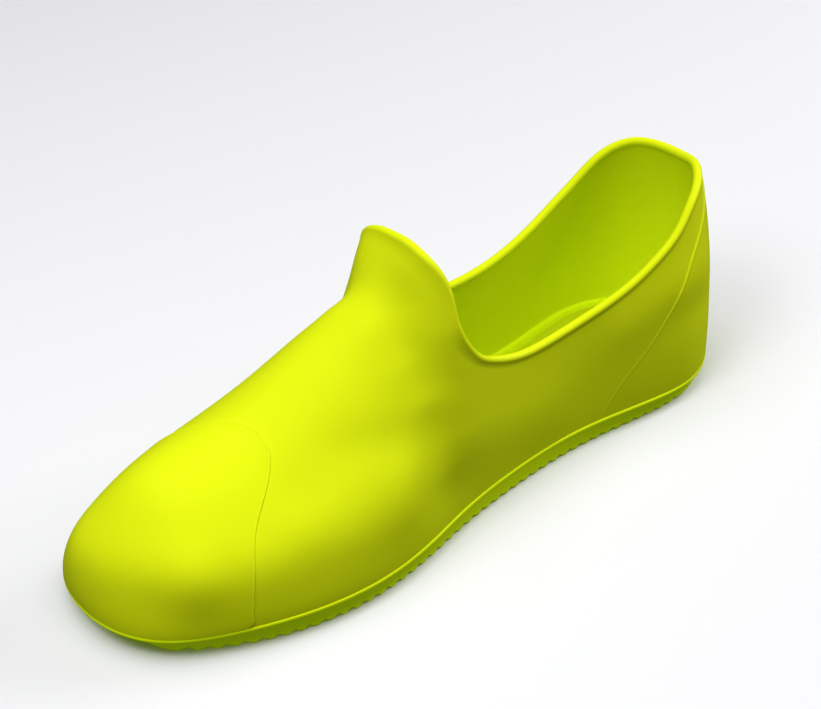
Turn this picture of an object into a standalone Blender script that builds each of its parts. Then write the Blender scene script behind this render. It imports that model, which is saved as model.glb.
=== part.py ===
"""Rubber overshoe for the left foot, built as an assembly of moulded pieces.

Metres, +X toward the toe, +Y toward the wearer's left, +Z up, floor at Z = 0.
All sizes below are in millimetres and are turned to metres when a mesh is made.
"""
import math

import bmesh
import bpy
import numpy as np
from mathutils import Matrix

MM = 0.001

# Main sizes of the last
LENGTH = 300.0
BACK_DRAW = 8.7
BACK_LEAN = 4.6
BACK_BULGE = 2.0
BACK_REACH = 0.30
BACK_HEIGHT = 80.0

# Sections of the last: share of the length from the heel, swing of the centre line, half width to the
# left and to the right of it, height of the crown line, roundness of the sides and of the ridge
SECTION_COLUMNS = ("name", "station", "middle", "outer", "inner", "crown", "side", "ridge")
SECTIONS = (
    ("heel back", 0.000, 0.0, 0.0, 0.0, 150.5, 2.70, 1.54),
    ("heel turn", 0.030, 0.0, 21.2, 22.0, 145.0, 2.67, 1.54),
    ("heel", 0.140, 0.0, 38.7, 35.0, 128.0, 2.17, 1.54),
    ("waist", 0.340, 1.0, 32.8, 29.9, 127.5, 2.08, 1.58),
    ("instep", 0.460, 2.5, 32.8, 34.1, 118.6, 2.60, 1.69),
    ("throat", 0.545, 3.6, 35.5, 36.6, 113.0, 2.72, 1.63),
    ("tab foot", 0.580, 1.8, 39.8, 36.8, 95.3, 1.92, 1.54),
    ("vamp", 0.610, 0.2, 43.7, 37.6, 87.8, 1.93, 1.57),
    ("ball", 0.700, -1.9, 50.0, 43.4, 74.1, 1.84, 1.58),
    ("cap line", 0.800, -4.0, 49.3, 45.7, 61.2, 1.82, 1.57),
    ("toe", 0.900, -6.3, 40.5, 36.6, 52.8, 1.98, 1.57),
    ("tip", 0.970, -8.1, 26.7, 28.9, 33.8, 2.03, 1.57),
    ("nose", 1.000, -9.0, 0.0, 0.0, 9.8, 2.10, 1.60),
)

# Height of the feather line, where the upper stands on the sole
FEATHER_COLUMNS = ("station", "height")
FEATHER = (
    (0.00, 8.8),
    (0.10, 8.8),
    (0.40, 11.0),
    (0.70, 10.2),
    (0.85, 10.9),
    (1.00, 9.8),
)

# Edge of the opening, from the middle of the heel to the peak of the tab over the instep
COLLAR_COLUMNS = ("station", "height")
COLLAR = (
    (0.000, 89.6),
    (0.050, 89.6),
    (0.098, 85.0),
    (0.140, 78.2),
    (0.182, 72.6),
    (0.222, 67.9),
    (0.258, 64.6),
    (0.326, 60.6),
    (0.395, 59.4),
    (0.470, 65.0),
    (0.505, 72.8),
    (0.531, 87.5),
    (0.531, 94.6),
    (0.532, 101.3),
    (0.539, 108.9),
    (0.544, 113.3),
)

# Wall of the upper and its rolled rim
WALL = 2.2
RIM_RADIUS = 1.8
RIM_FOOT = 4.3
RIM_ANGLES = (-45.0, 0.0, 45.0, 90.0, 135.0, 180.0, 225.0)
RAILS_PER_SIDE = 38
WALL_ROWS = 12
RAIL_SAMPLES = 80
SPLIT = 0.42
FAN_START = 0.45
FAN_END = 0.75

# Toe cap and heel counter laid on the upper; the cap's angle goes over the foot from left to right
SEAT_GAP = 0.3
OVERLAY = 0.5
CAP_COLUMNS = ("angle", "x")
CAP_EDGE = (
    (0.0, 112.0),
    (19.0, 110.3),
    (34.0, 106.7),
    (47.0, 99.9),
    (57.0, 89.6),
    (66.0, 82.6),
    (76.0, 81.0),
    (90.0, 85.0),
    (108.0, 91.5),
    (130.0, 100.5),
    (155.0, 108.5),
    (180.0, 112.0),
)
COUNTER_COLUMNS = ("x", "height")
COUNTER_EDGE = (
    (-56.0, 0.0),
    (-62.0, 14.0),
    (-72.5, 25.5),
    (-82.0, 33.0),
    (-96.0, 46.0),
    (-104.3, 55.4),
    (-112.0, 64.6),
    (-125.2, 76.1),
    (-134.0, 100.0),
)

# Outsole: a tray with a bead round its edge and ribs across the tread
SOLE_FLOOR = 5.0
RIM_WIDTH = 4.0
RIM_DRAFT = 0.6
BEAD_PROUD = 1.0
BEAD_HEIGHT = 1.7
RIB_COUNT = 43
RIB_FIRST = -104.0
RIB_LAST = 133.0
RIB_DEPTH = 2.0
RIB_LAND = 1.6
HEEL_STEPS = 9
TOE_STEPS = 7
TOE_RISE = 3.6
INSET_COLUMNS = ("station", "inset")
TREAD_INSET = (
    (0.00, 4.0),
    (0.10, 3.0),
    (0.30, 1.6),
    (0.50, 1.2),
    (0.70, 2.2),
    (0.80, 2.4),
    (0.90, 3.6),
    (1.00, 6.5),
)

# Footbed lying in the tray
INSOLE_THICK = 2.0
INSOLE_EASE = 0.7
INSOLE_STEPS = 48

# Colours, linear, with roughness
RUBBER_SHELL = ((0.687, 0.753, 0.010), 0.46)
RUBBER_CAP = ((0.700, 0.768, 0.010), 0.44)
RUBBER_COUNTER = ((0.672, 0.740, 0.010), 0.46)
RUBBER_SOLE = ((0.610, 0.690, 0.012), 0.52)
RUBBER_FOOTBED = ((0.560, 0.640, 0.012), 0.62)


def clear_scene():
    """Remove whatever the scene starts with."""
    for item in list(bpy.data.objects):
        bpy.data.objects.remove(item, do_unlink=True)


def column(rows, columns, name):
    """One named column of a table as an array."""
    place = columns.index(name)
    return np.array([row[place] for row in rows], dtype=float)


def natural_spline(xs, ys):
    """Smooth curve through a column of a table, free at both ends."""
    xs = np.asarray(xs, dtype=float)
    ys = np.asarray(ys, dtype=float)
    count = len(xs)
    step = np.diff(xs)
    rise = np.diff(ys) / step
    matrix = np.eye(count)
    right = np.zeros(count)
    for i in range(1, count - 1):
        matrix[i, i - 1] = step[i - 1]
        matrix[i, i] = 2.0 * (step[i - 1] + step[i])
        matrix[i, i + 1] = step[i]
        right[i] = 3.0 * (rise[i] - rise[i - 1])
    bend = np.linalg.solve(matrix, right)
    slope = rise - step * (2.0 * bend[:-1] + bend[1:]) / 3.0
    twist = np.diff(bend) / (3.0 * step)

    def value(x):
        x = np.asarray(x, dtype=float)
        i = np.clip(np.searchsorted(xs, x) - 1, 0, count - 2)
        u = x - xs[i]
        return ys[i] + u * (slope[i] + u * (bend[i] + u * twist[i]))

    return value


def turn_of(station):
    """Even parameter along the shoe, closer spaced at heel and nose."""
    return np.arccos(1.0 - 2.0 * np.clip(station, 0.0, 1.0)) / math.pi


def station_of(turn):
    """Share of the length that a turn stands for."""
    return (1.0 - np.cos(math.pi * np.asarray(turn, dtype=float))) / 2.0


def smoothstep(value):
    """Soft change from 0 to 1."""
    value = np.clip(value, 0.0, 1.0)
    return value * value * (3.0 - 2.0 * value)


class Last:
    """Outer skin of the overshoe through its section table."""

    def __init__(self):
        turns = turn_of(column(SECTIONS, SECTION_COLUMNS, "station"))
        curves = {}
        for name in SECTION_COLUMNS[2:]:
            curves[name] = natural_spline(turns, column(SECTIONS, SECTION_COLUMNS, name))
        self.curves = curves
        self.feather = natural_spline(
            column(FEATHER, FEATHER_COLUMNS, "station"), column(FEATHER, FEATHER_COLUMNS, "height")
        )

    def middle(self, turn):
        """Swing of the centre line to the left of the axis."""
        return self.curves["middle"](turn)

    def half_width(self, turn, side):
        """Half width at the feather line on one side."""
        return np.where(np.asarray(side) > 0, self.curves["outer"](turn), self.curves["inner"](turn))

    def point(self, turn, angle, side):
        """Point of the skin: angle 0 at the feather line, a right angle on the ridge."""
        station = station_of(turn)
        base = self.feather(station)
        tall = np.maximum(self.curves["crown"](turn) - base, 0.0)
        across = np.clip(np.cos(angle), 1e-9, 1.0) ** (2.0 / self.curves["side"](turn))
        up = np.clip(np.sin(angle), 0.0, 1.0) ** (2.0 / self.curves["ridge"](turn))
        y = self.middle(turn) + side * self.half_width(turn, side) * across
        z = base + tall * up
        level = np.clip((z - base) / BACK_HEIGHT, 0.0, 1.2)
        near_back = np.clip(1.0 - station / BACK_REACH, 0.0, 1.0) ** 2
        bulge = BACK_BULGE * np.sin(math.pi * np.clip(level, 0.0, 1.0))
        x = LENGTH * (station - 0.5) + near_back * (BACK_DRAW + BACK_LEAN * level ** 3 - bulge)
        return np.stack(np.broadcast_arrays(x, y, z), axis=-1)

    def angle_at(self, turn, height):
        """Angle in the section at which the skin reaches a height."""
        base = self.feather(station_of(turn))
        share = np.clip((height - base) / (self.curves["crown"](turn) - base), 0.0, 1.0)
        return np.arcsin(np.clip(share ** (self.curves["ridge"](turn) / 2.0), 0.0, 1.0))

    def outline(self, turn, side, offset=0.0):
        """Feather line in plan, moved outward by an offset."""
        turn = np.asarray(turn, dtype=float)
        small = 1e-4
        before = self.point(np.clip(turn - small, 0.0, 1.0), 0.0, side)
        after = self.point(np.clip(turn + small, 0.0, 1.0), 0.0, side)
        along = (after - before)[..., :2]
        along = along / np.linalg.norm(along, axis=-1, keepdims=True)
        out = side * np.stack([-along[..., 1], along[..., 0]], axis=-1)
        plan = self.point(turn, 0.0, side)[..., :2]
        return plan + out * np.asarray(offset)[..., None]


class Opening:
    """Collar line as a smooth curve of turn and angle over its own length."""

    def __init__(self, last):
        station = column(COLLAR, COLLAR_COLUMNS, "station")
        height = column(COLLAR, COLLAR_COLUMNS, "height")
        turn = turn_of(station)
        angle = last.angle_at(turn, height)
        angle[-1] = math.pi / 2.0
        points = last.point(turn, angle, 1.0)
        run = np.concatenate([[0.0], np.cumsum(np.linalg.norm(np.diff(points, axis=0), axis=1))])
        self.total = run[-1]
        wide_run = np.concatenate([[-run[1]], run, [2.0 * run[-1] - run[-2]]])
        wide_turn = np.concatenate([[-turn[1]], turn, [turn[-2]]])
        wide_angle = np.concatenate([[angle[1]], angle, [math.pi - angle[-2]]])
        self.turn_curve = natural_spline(wide_run, wide_turn)
        self.angle_curve = natural_spline(wide_run, wide_angle)

    def at(self, run):
        """Turn and angle at a length along the collar from the heel."""
        turn = np.clip(self.turn_curve(run), 0.0, 1.0)
        angle = np.clip(self.angle_curve(run), 0.0, math.pi / 2.0)
        return turn, angle

    def run_at_turn(self, turn):
        """Length along the collar at which it stands over a turn."""
        runs = np.linspace(0.0, self.total, 600)
        turns = np.maximum.accumulate(self.at(runs)[0])
        return np.interp(turn, turns, runs)


class Skin:
    """Grid of rails from the feather line up to the collar, with its normals."""

    def __init__(self, last, opening):
        turns = np.linspace(0.0, 1.0, RAILS_PER_SIDE + 1)
        rails = [(turn, 1.0) for turn in turns]
        rails += [(turn, -1.0) for turn in turns[-2:0:-1]]
        self.rails = [self.rail(last, opening, turn, side) for turn, side in rails]
        self.count = len(self.rails)
        self.grid = np.stack([self.resample(line) for line in self.rails])
        self.edge = np.stack([line[-1] for line in self.rails])
        self.find_normals()

    def rail(self, last, opening, turn, side):
        """One line on the skin from the feather line to the collar."""
        if turn <= SPLIT:
            run = opening.run_at_turn(turn)
        else:
            start = opening.run_at_turn(SPLIT)
            run = start + (opening.total - start) * (turn - SPLIT) / (1.0 - SPLIT)
        end_turn, end_angle = opening.at(run)
        if turn == 1.0:
            end_angle = math.pi / 2.0
        share = np.linspace(0.0, 1.0, RAIL_SAMPLES)
        reach = 1.0 - turn
        end_reach = 1.0 - end_turn
        flat_x = reach + (end_reach * math.cos(end_angle) - reach) * share
        flat_y = end_reach * math.sin(end_angle) * share
        mix = smoothstep((turn - FAN_START) / (FAN_END - FAN_START))
        radius = (1.0 - mix) * (reach + (end_reach - reach) * share) + mix * np.hypot(flat_x, flat_y)
        angle = (1.0 - mix) * end_angle * share + mix * np.arctan2(flat_y, flat_x)
        return last.point(1.0 - radius, angle, side)

    def resample(self, line):
        """Even rows up a rail, ending at the foot of the rim."""
        run = np.concatenate([[0.0], np.cumsum(np.linalg.norm(np.diff(line, axis=0), axis=1))])
        rows = np.linspace(0.0, run[-1] - RIM_FOOT, WALL_ROWS)
        return np.stack([np.interp(rows, run, line[:, k]) for k in range(3)], axis=-1)

    def find_normals(self):
        """Outward directions from the differences of neighbouring points."""
        full = np.concatenate([self.grid, self.edge[:, None]], axis=1)
        around = np.roll(full, -1, axis=0) - np.roll(full, 1, axis=0)
        up = np.gradient(full, axis=1)
        out = np.cross(up, around)
        out[:, 0, 2] = 0.0
        out = out / np.linalg.norm(out, axis=-1, keepdims=True)
        self.normals = out[:, :-1]
        self.edge_normal = out[:, -1]
        rise = self.edge - self.grid[:, -1]
        rise = rise - np.sum(rise * self.edge_normal, axis=-1, keepdims=True) * self.edge_normal
        self.edge_up = rise / np.linalg.norm(rise, axis=-1, keepdims=True)

    def offset_rows(self, offset):
        """Rows of the skin moved along the normals, feather line first."""
        moved = self.grid + offset * self.normals
        return [moved[:, j] for j in range(WALL_ROWS)]

    def rim_rows(self):
        """Rows round the rolled rim, from its outer foot to its inner foot."""
        centre = self.edge - RIM_RADIUS * self.edge_up - 0.5 * WALL * self.edge_normal
        rows = []
        for degrees in RIM_ANGLES:
            angle = math.radians(degrees)
            swing = math.cos(angle) * self.edge_normal + math.sin(angle) * self.edge_up
            rows.append(centre + RIM_RADIUS * swing)
        return rows


def rubber(name, finish):
    """Plain material for one piece."""
    colour, rough = finish
    material = bpy.data.materials.new(name)
    material.use_nodes = True
    shader = material.node_tree.nodes["Principled BSDF"]
    shader.inputs["Base Color"].default_value = (*colour, 1.0)
    shader.inputs["Roughness"].default_value = rough
    shader.inputs["Metallic"].default_value = 0.0
    material.diffuse_color = (*colour, 1.0)
    return material


def add_object(name, points, faces, finish, smooth):
    """Mesh object from points in millimetres, faces turned outward."""
    mesh = bpy.data.meshes.new(name)
    mesh.from_pydata([tuple(float(c) * MM for c in point) for point in points], [], faces)
    work = bmesh.new()
    work.from_mesh(mesh)
    bmesh.ops.triangulate(work, faces=work.faces[:])
    bmesh.ops.recalc_face_normals(work, faces=work.faces[:])
    work.to_mesh(mesh)
    work.free()
    item = bpy.data.objects.new(name, mesh)
    bpy.context.scene.collection.objects.link(item)
    if finish is not None:
        mesh.materials.append(rubber(name + " rubber", finish))
    for polygon in mesh.polygons:
        polygon.use_smooth = smooth
    return item


def ring_faces(rows, size, closed):
    """Quads between neighbouring rings of the same size."""
    faces = []
    last = rows if closed else rows - 1
    for j in range(last):
        low = j * size
        high = ((j + 1) % rows) * size
        for i in range(size):
            k = (i + 1) % size
            faces.append((low + i, low + k, high + k, high + i))
    return faces


def build_upper(skin):
    """Hollow shell with a rolled rim, open at the collar and underneath."""
    rows = skin.offset_rows(0.0) + skin.rim_rows() + skin.offset_rows(-WALL)[::-1]
    faces = ring_faces(len(rows), skin.count, True)
    return add_object("upper", np.concatenate(rows), faces, RUBBER_SHELL, True)


def build_band(skin, name, finish):
    """Thin layer over the whole skin from which an overlay is cut."""
    rows = skin.offset_rows(SEAT_GAP + OVERLAY) + skin.offset_rows(SEAT_GAP)[::-1]
    faces = ring_faces(len(rows), skin.count, True)
    return add_object(name, np.concatenate(rows), faces, finish, True)


def keep_inside(item, cutter):
    """Keep what an overlay shares with its cutter and drop the cutter."""
    cut = item.modifiers.new("cut", "BOOLEAN")
    cut.operation = "INTERSECT"
    cut.solver = "EXACT"
    cut.object = cutter
    graph = bpy.context.evaluated_depsgraph_get()
    shaped = bpy.data.meshes.new_from_object(item.evaluated_get(graph))
    item.modifiers.clear()
    item.data = shaped
    bpy.data.objects.remove(cutter, do_unlink=True)
    return item


def cap_cutter(last):
    """Block from the cap line forward, its back face standing along the skin's normals."""
    angles = column(CAP_EDGE, CAP_COLUMNS, "angle")
    line = natural_spline(angles, column(CAP_EDGE, CAP_COLUMNS, "x"))
    outer = []
    inner = []
    for angle in np.linspace(0.0, 180.0, 61):
        place = float(line(angle))
        side = 1.0 if angle <= 90.0 else -1.0
        turn = float(turn_of(place / LENGTH + 0.5))
        point = last.point(turn, math.radians(min(angle, 180.0 - angle)), side)
        core = np.array([place, float(last.middle(turn)), float(last.feather(place / LENGTH + 0.5))])
        outer.append(core + (point - core) * 1.35)
        inner.append(core + (point - core) * 0.70)
    for ring, drop in ((outer, -12.0), (inner, -6.0)):
        ring.insert(0, np.array([ring[0][0], ring[0][1], drop]))
        ring.append(np.array([ring[-1][0], ring[-1][1], drop]))
    front = [np.array([LENGTH, point[1], point[2]]) for point in outer]
    size = len(outer)
    points = inner + outer + front
    faces = ring_faces(3, size, False)
    points.append(np.mean(inner, axis=0))
    points.append(np.mean(front, axis=0))
    for i in range(size):
        k = (i + 1) % size
        faces.append((k, i, 3 * size))
        faces.append((2 * size + i, 2 * size + k, 3 * size + 1))
    return add_object("cap cutter", points, faces, None, False)


def counter_cutter():
    """Block behind the counter's front edge, right across the shoe."""
    edge = list(COUNTER_EDGE)
    profile = [(-LENGTH, edge[0][1] - 10.0), (edge[0][0], edge[0][1] - 10.0)] + edge
    profile.append((-LENGTH, edge[-1][1]))
    size = len(profile)
    points = [(x, -LENGTH, z) for x, z in profile] + [(x, LENGTH, z) for x, z in profile]
    faces = ring_faces(2, size, False)
    faces.append(tuple(range(size)))
    faces.append(tuple(range(2 * size - 1, size - 1, -1)))
    return add_object("counter cutter", points, faces, None, False)


class Sole:
    """Stations along the sole and the closed lines that its edge is made of."""

    def __init__(self, last):
        self.last = last
        self.inset = natural_spline(
            column(TREAD_INSET, INSET_COLUMNS, "station"), column(TREAD_INSET, INSET_COLUMNS, "inset")
        )
        self.places = self.stations()
        self.turns = {side: self.turns_at(side) for side in (1.0, -1.0)}

    def tread_line(self, turn, side):
        """Edge of the tread in plan."""
        return self.last.outline(turn, side, -self.inset(station_of(turn)))

    def stations(self):
        """Places along X: round the heel, both edges and the valley of each rib, round the toe."""
        back = float(self.tread_line(0.0, 1.0)[0])
        front = float(self.tread_line(1.0, 1.0)[0])
        places = []
        for i in range(HEEL_STEPS):
            places.append(back + (RIB_FIRST - back) * (i / HEEL_STEPS) ** 2)
        pitch = (RIB_LAST - RIB_FIRST) / RIB_COUNT
        for i in range(RIB_COUNT):
            start = RIB_FIRST + i * pitch
            places += [start, start + 0.5 * (pitch - RIB_LAND), start + pitch - RIB_LAND]
        for i in range(TOE_STEPS + 1):
            places.append(front - (front - RIB_LAST) * (1.0 - i / TOE_STEPS) ** 2)
        return np.array(places)

    def turns_at(self, side):
        """Turn at which the tread's edge stands over each station."""
        turns = np.linspace(0.0, 1.0, 2001)
        return np.interp(self.places, self.tread_line(turns, side)[:, 0], turns)

    def tread_height(self):
        """Height of the underside at each station: lands on the floor, valleys between, rise at the toe."""
        heights = np.zeros(len(self.places))
        heights[HEEL_STEPS + 1:HEEL_STEPS + 3 * RIB_COUNT:3] = RIB_DEPTH
        front = self.places[-1]
        lift = np.clip((self.places - RIB_LAST) / (front - RIB_LAST), 0.0, 1.0)
        return heights + TOE_RISE * lift ** 1.6

    def ring(self, offset, height):
        """Closed line round the sole: left side from heel to toe, then right side back."""
        sides = []
        for side in (1.0, -1.0):
            turn = self.turns[side]
            plan = self.last.outline(turn, side, np.broadcast_to(offset, turn.shape))
            level = np.broadcast_to(height(station_of(turn)), turn.shape)
            sides.append(np.column_stack([plan, level]))
        return np.concatenate([sides[0], sides[1][-2:0:-1]])

    def tread_ring(self):
        """Closed line at the edge of the tread, exactly over the stations."""
        height = self.tread_height()
        sides = []
        for side in (1.0, -1.0):
            plan = self.tread_line(self.turns[side], side)
            sides.append(np.column_stack([self.places, plan[:, 1], height]))
        return np.concatenate([sides[0], sides[1][-2:0:-1]])


def across_faces(count, first):
    """Strips from the left to the right of a ring that runs heel, left, toe, right."""
    size = 2 * count - 2
    faces = []
    for i in range(count - 1):
        left = [i, i + 1]
        right = [(size - i - 1) % size, (size - i) % size]
        corners = []
        for k in left + right:
            if first + k not in corners:
                corners.append(first + k)
        faces.append(tuple(corners))
    return faces


def build_outsole(last):
    """Tray with an upstanding edge, a bead below the feather line and ribs across the tread."""
    sole = Sole(last)
    seat = lambda station: last.feather(station) - SEAT_GAP
    rows = [
        sole.ring(-RIM_WIDTH - RIM_DRAFT, lambda station: SOLE_FLOOR + 0.0 * station),
        sole.ring(-RIM_WIDTH, seat),
        sole.ring(-0.1, seat),
        sole.ring(BEAD_PROUD, lambda station: seat(station) - 0.35 * BEAD_HEIGHT),
        sole.ring(0.8 * BEAD_PROUD, lambda station: seat(station) - 0.75 * BEAD_HEIGHT),
        sole.ring(0.0, lambda station: seat(station) - BEAD_HEIGHT),
        sole.tread_ring(),
    ]
    size = len(rows[0])
    count = len(sole.places)
    faces = ring_faces(len(rows), size, False)
    faces += across_faces(count, 0)
    faces += across_faces(count, (len(rows) - 1) * size)
    return add_object("outsole", np.concatenate(rows), faces, RUBBER_SOLE, False)


def build_insole(last):
    """Plain footbed lying in the tray of the sole."""
    turns = np.linspace(0.0, 1.0, INSOLE_STEPS + 1)
    offset = -RIM_WIDTH - RIM_DRAFT - INSOLE_EASE
    left = last.outline(turns, 1.0, np.full(len(turns), offset))
    right = last.outline(turns, -1.0, np.full(len(turns), offset))
    plan = np.concatenate([left, right[-2:0:-1]])
    low = SOLE_FLOOR + SEAT_GAP
    rows = [
        np.column_stack([plan, np.full(len(plan), low)]),
        np.column_stack([plan, np.full(len(plan), low + INSOLE_THICK)]),
    ]
    faces = ring_faces(2, len(plan), False)
    faces += across_faces(len(turns), 0)
    faces += across_faces(len(turns), len(plan))
    return add_object("insole", np.concatenate(rows), faces, RUBBER_FOOTBED, False)


def centre_pieces():
    """Put the middle of the whole on the origin, with the tread on the floor."""
    pieces = list(bpy.data.objects)
    points = np.array([vertex.co[:] for item in pieces for vertex in item.data.vertices])
    low = points.min(axis=0)
    high = points.max(axis=0)
    move = Matrix.Translation((-(low[0] + high[0]) / 2.0, -(low[1] + high[1]) / 2.0, -low[2]))
    for item in pieces:
        item.data.transform(move)


def main():
    """Build the pieces in the order in which they are put together."""
    clear_scene()
    last = Last()
    skin = Skin(last, Opening(last))
    build_outsole(last)
    build_insole(last)
    build_upper(skin)
    keep_inside(build_band(skin, "toe_cap", RUBBER_CAP), cap_cutter(last))
    keep_inside(build_band(skin, "heel_counter", RUBBER_COUNTER), counter_cutter())
    centre_pieces()


main()
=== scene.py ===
"""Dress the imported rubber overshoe: smooth moulded pieces, satin rubber finishes, studio and camera.

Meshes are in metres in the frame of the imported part. The tables are in millimetres in the frame of
the last, whose origin lies midway along the sole: X toward the toe, Y toward the wearer's left, Z up
from the floor.
"""
import logging
import math
from dataclasses import dataclass
from enum import Enum

import bpy
import numpy as np
from mathutils import Matrix, Vector


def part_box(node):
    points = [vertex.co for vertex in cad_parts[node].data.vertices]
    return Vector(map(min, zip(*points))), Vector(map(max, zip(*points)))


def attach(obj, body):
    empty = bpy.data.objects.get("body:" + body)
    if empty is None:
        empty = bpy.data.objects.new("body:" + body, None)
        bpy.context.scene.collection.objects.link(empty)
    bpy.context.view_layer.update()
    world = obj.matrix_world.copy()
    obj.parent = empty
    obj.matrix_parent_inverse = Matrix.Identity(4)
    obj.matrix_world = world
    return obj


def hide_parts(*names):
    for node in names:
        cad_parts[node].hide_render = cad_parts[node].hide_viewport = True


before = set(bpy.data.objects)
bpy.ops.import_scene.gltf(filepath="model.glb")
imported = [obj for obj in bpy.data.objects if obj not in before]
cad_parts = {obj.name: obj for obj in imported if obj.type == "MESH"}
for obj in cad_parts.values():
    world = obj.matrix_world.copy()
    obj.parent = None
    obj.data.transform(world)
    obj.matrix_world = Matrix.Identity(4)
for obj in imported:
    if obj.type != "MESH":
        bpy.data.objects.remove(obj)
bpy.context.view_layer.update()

LOG = logging.getLogger("overshoe")
MM = 0.001
IMAGE_SIZE = (821, 709)
RUBBER_IOR = 1.42

# Angles in degrees past which an edge is drawn sharp
SHELL_CRISP = 50.0
SOLE_CRISP = 60.0

# Gaps in metres for welding and for flat faces, and the least normal
WELD_GAP = 1e-6
FLAT_GAP = 1e-7
LEAST_NORMAL = 1e-12

# Steps in which long curves are searched
OUTLINE_STEPS = 801
COLLAR_STEPS = 1200
TREAD_STEPS = 6001

# Numbers of sockets whose names aren't unique on their node
MIX_SHARE = 0
MIX_FIRST = 6
MIX_SECOND = 7
MIX_COLOUR = 2
RANGE_VALUE = 0
RANGE_LOW = 3
RANGE_HIGH = 4


class Side(Enum):
    """The two sides of the shoe, by the sign of Y."""

    OUTER = 1.0
    INNER = -1.0


Table = tuple[tuple[float, float], ...]
Rails = list[tuple[float, Side]]


@dataclass(frozen=True)
class Section:
    """One section across the last.

    station is the share of the length from the heel, middle the swing of the centre line, outer and
    inner the half widths, crown the height of the ridge, side and ridge the roundness of the flanks
    and of the top.
    """

    station: float
    middle: float
    outer: float
    inner: float
    crown: float
    side: float
    ridge: float


SECTIONS: tuple[Section, ...] = (
    Section(0.000, 0.0, 0.0, 0.0, 150.5, 2.70, 1.54),
    Section(0.030, 0.0, 21.2, 22.0, 145.0, 2.67, 1.54),
    Section(0.140, 0.0, 38.7, 35.0, 128.0, 2.17, 1.54),
    Section(0.340, 1.0, 32.8, 29.9, 127.5, 2.08, 1.58),
    Section(0.460, 2.5, 32.8, 34.1, 118.6, 2.60, 1.69),
    Section(0.545, 3.6, 35.5, 36.6, 113.0, 2.72, 1.63),
    Section(0.580, 1.8, 39.8, 36.8, 95.3, 1.92, 1.54),
    Section(0.610, 0.2, 43.7, 37.6, 87.8, 1.93, 1.57),
    Section(0.700, -1.9, 50.0, 43.4, 74.1, 1.84, 1.58),
    Section(0.800, -4.0, 49.3, 45.7, 61.2, 1.82, 1.57),
    Section(0.900, -6.3, 40.5, 36.6, 52.8, 1.98, 1.57),
    Section(0.970, -8.1, 26.7, 28.9, 33.8, 2.03, 1.57),
    Section(1.000, -9.0, 0.0, 0.0, 9.8, 2.10, 1.60),
)

# Height of the feather line along the shoe: station, height
FEATHER: Table = (
    (0.00, 8.8),
    (0.10, 8.8),
    (0.40, 11.0),
    (0.70, 10.2),
    (0.85, 10.9),
    (1.00, 9.8),
)

# Edge of the opening from the middle of the heel to the peak of the tab: station, height
COLLAR: Table = (
    (0.000, 89.6),
    (0.050, 89.6),
    (0.098, 85.0),
    (0.140, 78.2),
    (0.182, 72.6),
    (0.222, 67.9),
    (0.258, 64.6),
    (0.326, 60.6),
    (0.395, 59.4),
    (0.470, 65.0),
    (0.505, 72.8),
    (0.531, 87.5),
    (0.531, 94.6),
    (0.532, 101.3),
    (0.539, 108.9),
    (0.544, 113.3),
)

# Back edge of the toe cap: angle over the foot from the outer to the inner feather line, x
CAP_EDGE: Table = (
    (0.0, 112.0),
    (19.0, 110.3),
    (34.0, 106.7),
    (47.0, 99.9),
    (57.0, 89.6),
    (66.0, 82.6),
    (76.0, 81.0),
    (90.0, 85.0),
    (108.0, 91.5),
    (130.0, 100.5),
    (155.0, 108.5),
    (180.0, 112.0),
)

# Front edge of the heel counter: height, x
COUNTER_EDGE: Table = (
    (0.0, -56.0),
    (14.0, -62.0),
    (25.5, -72.5),
    (33.0, -82.0),
    (46.0, -96.0),
    (55.4, -104.3),
    (64.6, -112.0),
    (76.1, -125.2),
    (100.0, -134.0),
)

# How far the edge of the tread stands in from the feather line: station, inset
TREAD_INSET: Table = (
    (0.00, 4.0),
    (0.10, 3.0),
    (0.30, 1.6),
    (0.50, 1.2),
    (0.70, 2.2),
    (0.80, 2.4),
    (0.90, 3.6),
    (1.00, 6.5),
)


@dataclass(frozen=True)
class Crease:
    """A soft trough or ridge in the shell along a short path on the last.

    height is the rise of a ridge, or minus the depth of a trough, and width is how far it spreads to
    each side.
    """

    name: str
    height: float
    width: float
    path: tuple[tuple[float, float, float], ...]


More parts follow.
